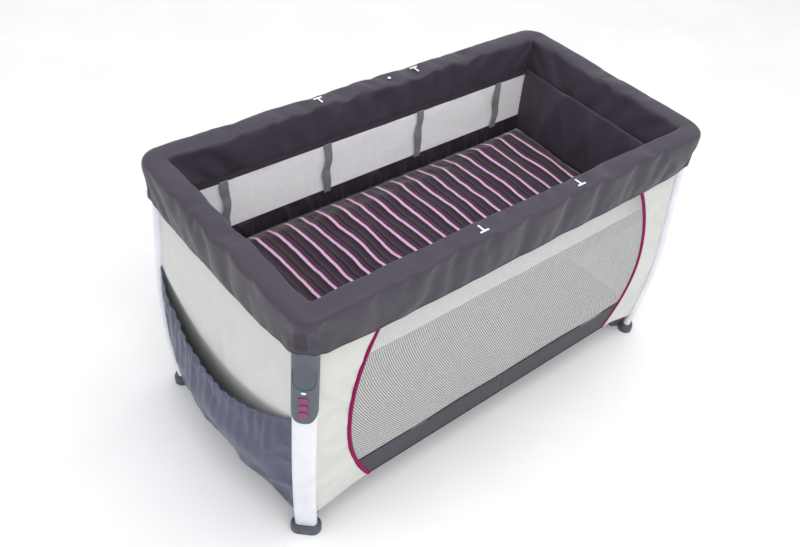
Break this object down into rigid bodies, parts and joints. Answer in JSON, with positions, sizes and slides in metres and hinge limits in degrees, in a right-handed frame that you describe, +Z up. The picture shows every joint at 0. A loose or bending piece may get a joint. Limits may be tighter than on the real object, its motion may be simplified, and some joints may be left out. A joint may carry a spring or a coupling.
{
  "type": "travel play yard",
  "caption": "Rectangular folding travel cot with padded rails, fabric and mesh sides, bowed legs, side pocket, raised bassinet insert and striped mattress.",
  "frame": {"origin": "on the floor under the middle of the centre hub's foot", "axes": "+X along the long side towards the end without the pocket, +Y towards the back, +Z up"},
  "size_m": [1.3324, 0.674, 0.7423],
  "materials": {
    "moulding": "satin moulded plastic",
    "button_grey": "satin moulded plastic",
    "rivet": "zinc-plated steel rivet",
    "steel_tube": "grey powder coat on steel tube",
    "white_leg": "white powder coat",
    "cover_nylon": "charcoal woven nylon over foam",
    "wall_cloth": "off-white woven polyester with a mesh window",
    "floor_cloth": "charcoal woven polyester",
    "pocket_nylon": "slate woven nylon",
    "webbing": "grey woven webbing",
    "white_plastic": "white moulded plastic",
    "liner_cloth": "charcoal padded fabric with white mesh",
    "mesh_white": "white knitted mesh",
    "piping": "magenta piping",
    "mattress_cloth": "striped woven cotton",
    "module_grey": "slate satin plastic",
    "module_dark": "dark grille plastic",
    "magenta_plastic": "magenta rubberised keys"
  },
  "bodies": {
    "hub": {"hub_body": "moulding", "hub_pins": "rivet", "pull_strap": "webbing", "floor_panel": "floor_cloth"},
    "arm_front_left": {"floor_arm_front_left": "steel_tube"},
    "leg_front_left": {"leg_profile_front_left": "white_leg", "corner_bracket_front_left": "moulding", "foot_front_left": "moulding", "wall_panels_front_left": "wall_cloth", "side_pocket": "pocket_nylon", "module_housing": "module_grey", "module_inserts": "module_dark"},
    "long_half_front_left": {"long_rail_front_left": "steel_tube", "long_rail_cover_front_left": "cover_nylon", "rail_toggle_front_left": "white_plastic"},
    "short_half_front_left": {"short_rail_front_left": "steel_tube", "short_rail_cover_front_left": "cover_nylon"},
    "arm_front_right": {"floor_arm_front_right": "steel_tube"},
    "leg_front_right": {"leg_profile_front_right": "white_leg", "corner_bracket_front_right": "moulding", "foot_front_right": "moulding", "wall_panels_front_right": "wall_cloth"},
    "long_half_front_right": {"long_rail_front_right": "steel_tube", "long_rail_cover_front_right": "cover_nylon", "rail_toggle_front_right": "white_plastic"},
    "short_half_front_right": {"short_rail_front_right": "steel_tube", "short_rail_cover_front_right": "cover_nylon"},
    "arm_back_left": {"floor_arm_back_left": "steel_tube"},
    "leg_back_left": {"leg_profile_back_left": "white_leg", "corner_bracket_back_left": "moulding", "foot_back_left": "moulding", "wall_panels_back_left": "wall_cloth"},
    "long_half_back_left": {"long_rail_back_left": "steel_tube", "long_rail_cover_back_left": "cover_nylon", "rail_toggle_back_left": "white_plastic"},
    "short_half_back_left": {"short_rail_back_left": "steel_tube", "short_rail_cover_back_left": "cover_nylon"},
    "arm_back_right": {"floor_arm_back_right": "steel_tube"},
    "leg_back_right": {"leg_profile_back_right": "white_leg", "corner_bracket_back_right": "moulding", "foot_back_right": "moulding", "wall_panels_back_right": "wall_cloth"},
    "long_half_back_right": {"long_rail_back_right": "steel_tube", "long_rail_cover_back_right": "cover_nylon", "rail_toggle_back_right": "white_plastic"},
    "short_half_back_right": {"short_rail_back_right": "steel_tube", "short_rail_cover_back_right": "cover_nylon"},
    "latch_front": {"latch_housing_front": "moulding"},
    "latch_button_front": {"latch_button_front": "button_grey"},
    "latch_back": {"latch_housing_back": "moulding"},
    "latch_button_back": {"latch_button_back": "button_grey"},
    "latch_left": {"latch_housing_left": "moulding"},
    "latch_button_left": {"latch_button_left": "button_grey"},
    "latch_right": {"latch_housing_right": "moulding"},
    "latch_button_right": {"latch_button_right": "button_grey"},
    "bassinet": {"bassinet_liner": "liner_cloth"},
    "mattress": {"mattress": "mattress_cloth"},
    "module_button_upper": {"module_button_upper": "magenta_plastic"},
    "module_button_middle": {"module_button_middle": "magenta_plastic"},
    "module_button_lower": {"module_button_lower": "magenta_plastic"}
  },
  "joints": [
    {"name": "fold", "type": "hinge", "parent": "hub", "child": "arm_front_left", "pos_m": [-0.08508, -0.04226, 0.045], "axis": [0.4448, -0.8956, 0], "range_deg": [0, 90], "deforming": ["floor_panel", "side_pocket", "bassinet_liner", "mattress", "wall_panels_front_left", "long_rail_cover_front_left", "short_rail_cover_front_left", "wall_panels_front_right", "long_rail_cover_front_right", "short_rail_cover_front_right", "wall_panels_back_left", "long_rail_cover_back_left", "short_rail_cover_back_left", "wall_panels_back_right", "long_rail_cover_back_right", "short_rail_cover_back_right"]},
    {"name": "leg_front_left_hinge", "type": "hinge", "parent": "arm_front_left", "child": "leg_front_left", "pos_m": [-0.54178, -0.26909, 0.045], "axis": [0.4448, -0.8956, 0], "range_deg": [-90, 0]},
    {"name": "long_rail_front_left_hinge", "type": "hinge", "parent": "leg_front_left", "child": "long_half_front_left", "pos_m": [-0.545, -0.298, 0.702], "axis": [0, 1, 0], "range_deg": [0, 90]},
    {"name": "short_rail_front_left_hinge", "type": "hinge", "parent": "leg_front_left", "child": "short_half_front_left", "pos_m": [-0.6, -0.243, 0.702], "axis": [-1, 0, 0], "range_deg": [0, 90]},
    {"name": "arm_front_right_hinge", "type": "hinge", "parent": "hub", "child": "arm_front_right", "pos_m": [0.08508, -0.04226, 0.045], "axis": [0.4448, 0.8956, 0], "range_deg": [0, 90]},
    {"name": "leg_front_right_hinge", "type": "hinge", "parent": "arm_front_right", "child": "leg_front_right", "pos_m": [0.54178, -0.26909, 0.045], "axis": [0.4448, 0.8956, 0], "range_deg": [-90, 0]},
    {"name": "long_rail_front_right_hinge", "type": "hinge", "parent": "leg_front_right", "child": "long_half_front_right", "pos_m": [0.545, -0.298, 0.702], "axis": [0, -1, 0], "range_deg": [0, 90]},
    {"name": "short_rail_front_right_hinge", "type": "hinge", "parent": "leg_front_right", "child": "short_half_front_right", "pos_m": [0.6, -0.243, 0.702], "axis": [-1, 0, 0], "range_deg": [0, 90]},
    {"name": "arm_back_left_hinge", "type": "hinge", "parent": "hub", "child": "arm_back_left", "pos_m": [-0.08508, 0.04226, 0.045], "axis": [-0.4448, -0.8956, 0], "range_deg": [0, 90]},
    {"name": "leg_back_left_hinge", "type": "hinge", "parent": "arm_back_left", "child": "leg_back_left", "pos_m": [-0.54178, 0.26909, 0.045], "axis": [-0.4448, -0.8956, 0], "range_deg": [-90, 0]},
    {"name": "long_rail_back_left_hinge", "type": "hinge", "parent": "leg_back_left", "child": "long_half_back_left", "pos_m": [-0.545, 0.298, 0.702], "axis": [0, 1, 0], "range_deg": [0, 90]},
    {"name": "short_rail_back_left_hinge", "type": "hinge", "parent": "leg_back_left", "child": "short_half_back_left", "pos_m": [-0.6, 0.243, 0.702], "axis": [1, 0, 0], "range_deg": [0, 90]},
    {"name": "arm_back_right_hinge", "type": "hinge", "parent": "hub", "child": "arm_back_right", "pos_m": [0.08508, 0.04226, 0.045], "axis": [-0.4448, 0.8956, 0], "range_deg": [0, 90]},
    {"name": "leg_back_right_hinge", "type": "hinge", "parent": "arm_back_right", "child": "leg_back_right", "pos_m": [0.54178, 0.26909, 0.045], "axis": [-0.4448, 0.8956, 0], "range_deg": [-90, 0]},
    {"name": "long_rail_back_right_hinge", "type": "hinge", "parent": "leg_back_right", "child": "long_half_back_right", "pos_m": [0.545, 0.298, 0.702], "axis": [0, -1, 0], "range_deg": [0, 90]},
    {"name": "short_rail_back_right_hinge", "type": "hinge", "parent": "leg_back_right", "child": "short_half_back_right", "pos_m": [0.6, 0.243, 0.702], "axis": [1, 0, 0], "range_deg": [0, 90]},
    {"name": "latch_front_hinge", "type": "hinge", "parent": "long_half_front_left", "child": "latch_front", "pos_m": [-0.0883, -0.298, 0.702], "axis": [0, 1, 0], "range_deg": [-90, 0]},
    {"name": "latch_front_release", "type": "slide", "parent": "latch_front", "child": "latch_button_front", "axis": [0, 0, 1], "range_m": [0, 0.004], "stiffness_N_per_m": 1500, "springref_m": -0.002},
    {"name": "latch_back_hinge", "type": "hinge", "parent": "long_half_back_left", "child": "latch_back", "pos_m": [-0.0883, 0.298, 0.702], "axis": [0, 1, 0], "range_deg": [-90, 0]},
    {"name": "latch_back_release", "type": "slide", "parent": "latch_back", "child": "latch_button_back", "axis": [0, 0, 1], "range_m": [0, 0.004], "stiffness_N_per_m": 1500, "springref_m": -0.002},
    {"name": "latch_left_hinge", "type": "hinge", "parent": "short_half_front_left", "child": "latch_left", "pos_m": [-0.6, -0.01617, 0.702], "axis": [-1, 0, 0], "range_deg": [-90, 0]},
    {"name": "latch_left_release", "type": "slide", "parent": "latch_left", "child": "latch_button_left", "axis": [0, 0, 1], "range_m": [0, 0.004], "stiffness_N_per_m": 1500, "springref_m": -0.002},
    {"name": "latch_right_hinge", "type": "hinge", "parent": "short_half_front_right", "child": "latch_right", "pos_m": [0.6, -0.01617, 0.702], "axis": [-1, 0, 0], "range_deg": [-90, 0]},
    {"name": "latch_right_release", "type": "slide", "parent": "latch_right", "child": "latch_button_right", "axis": [0, 0, 1], "range_m": [0, 0.004], "stiffness_N_per_m": 1500, "springref_m": -0.002},
    {"name": "bassinet_lift", "type": "slide", "parent": "hub", "child": "bassinet", "axis": [0, 0, 1], "range_m": [0, 0.5]},
    {"name": "mattress_lift", "type": "slide", "parent": "bassinet", "child": "mattress", "axis": [0, 0, 1], "range_m": [0, 0.4]},
    {"name": "module_button_upper_press", "type": "slide", "parent": "leg_front_left", "child": "module_button_upper", "axis": [0.7071, 0.7071, 0], "range_m": [0, 0.0015], "stiffness_N_per_m": 800, "springref_m": -0.001},
    {"name": "module_button_middle_press", "type": "slide", "parent": "leg_front_left", "child": "module_button_middle", "axis": [0.7071, 0.7071, 0], "range_m": [0, 0.0015], "stiffness_N_per_m": 800, "springref_m": -0.001},
    {"name": "module_button_lower_press", "type": "slide", "parent": "leg_front_left", "child": "module_button_lower", "axis": [0.7071, 0.7071, 0], "range_m": [0, 0.0015], "stiffness_N_per_m": 800, "springref_m": -0.001}
  ],
  "couplings": [
    {"joint": "leg_front_left_hinge", "follows": "fold", "ratio": -1},
    {"joint": "long_rail_front_left_hinge", "follows": "fold", "ratio": 1},
    {"joint": "short_rail_front_left_hinge", "follows": "fold", "ratio": 1},
    {"joint": "arm_front_right_hinge", "follows": "fold", "ratio": 1},
    {"joint": "leg_front_right_hinge", "follows": "fold", "ratio": -1},
    {"joint": "long_rail_front_right_hinge", "follows": "fold", "ratio": 1},
    {"joint": "short_rail_front_right_hinge", "follows": "fold", "ratio": 1},
    {"joint": "arm_back_left_hinge", "follows": "fold", "ratio": 1},
    {"joint": "leg_back_left_hinge", "follows": "fold", "ratio": -1},
    {"joint": "long_rail_back_left_hinge", "follows": "fold", "ratio": 1},
    {"joint": "short_rail_back_left_hinge", "follows": "fold", "ratio": 1},
    {"joint": "arm_back_right_hinge", "follows": "fold", "ratio": 1},
    {"joint": "leg_back_right_hinge", "follows": "fold", "ratio": -1},
    {"joint": "long_rail_back_right_hinge", "follows": "fold", "ratio": 1},
    {"joint": "short_rail_back_right_hinge", "follows": "fold", "ratio": 1},
    {"joint": "latch_front_hinge", "follows": "fold", "ratio": -1},
    {"joint": "latch_back_hinge", "follows": "fold", "ratio": -1},
    {"joint": "latch_left_hinge", "follows": "fold", "ratio": -1},
    {"joint": "latch_right_hinge", "follows": "fold", "ratio": -1}
  ]
}
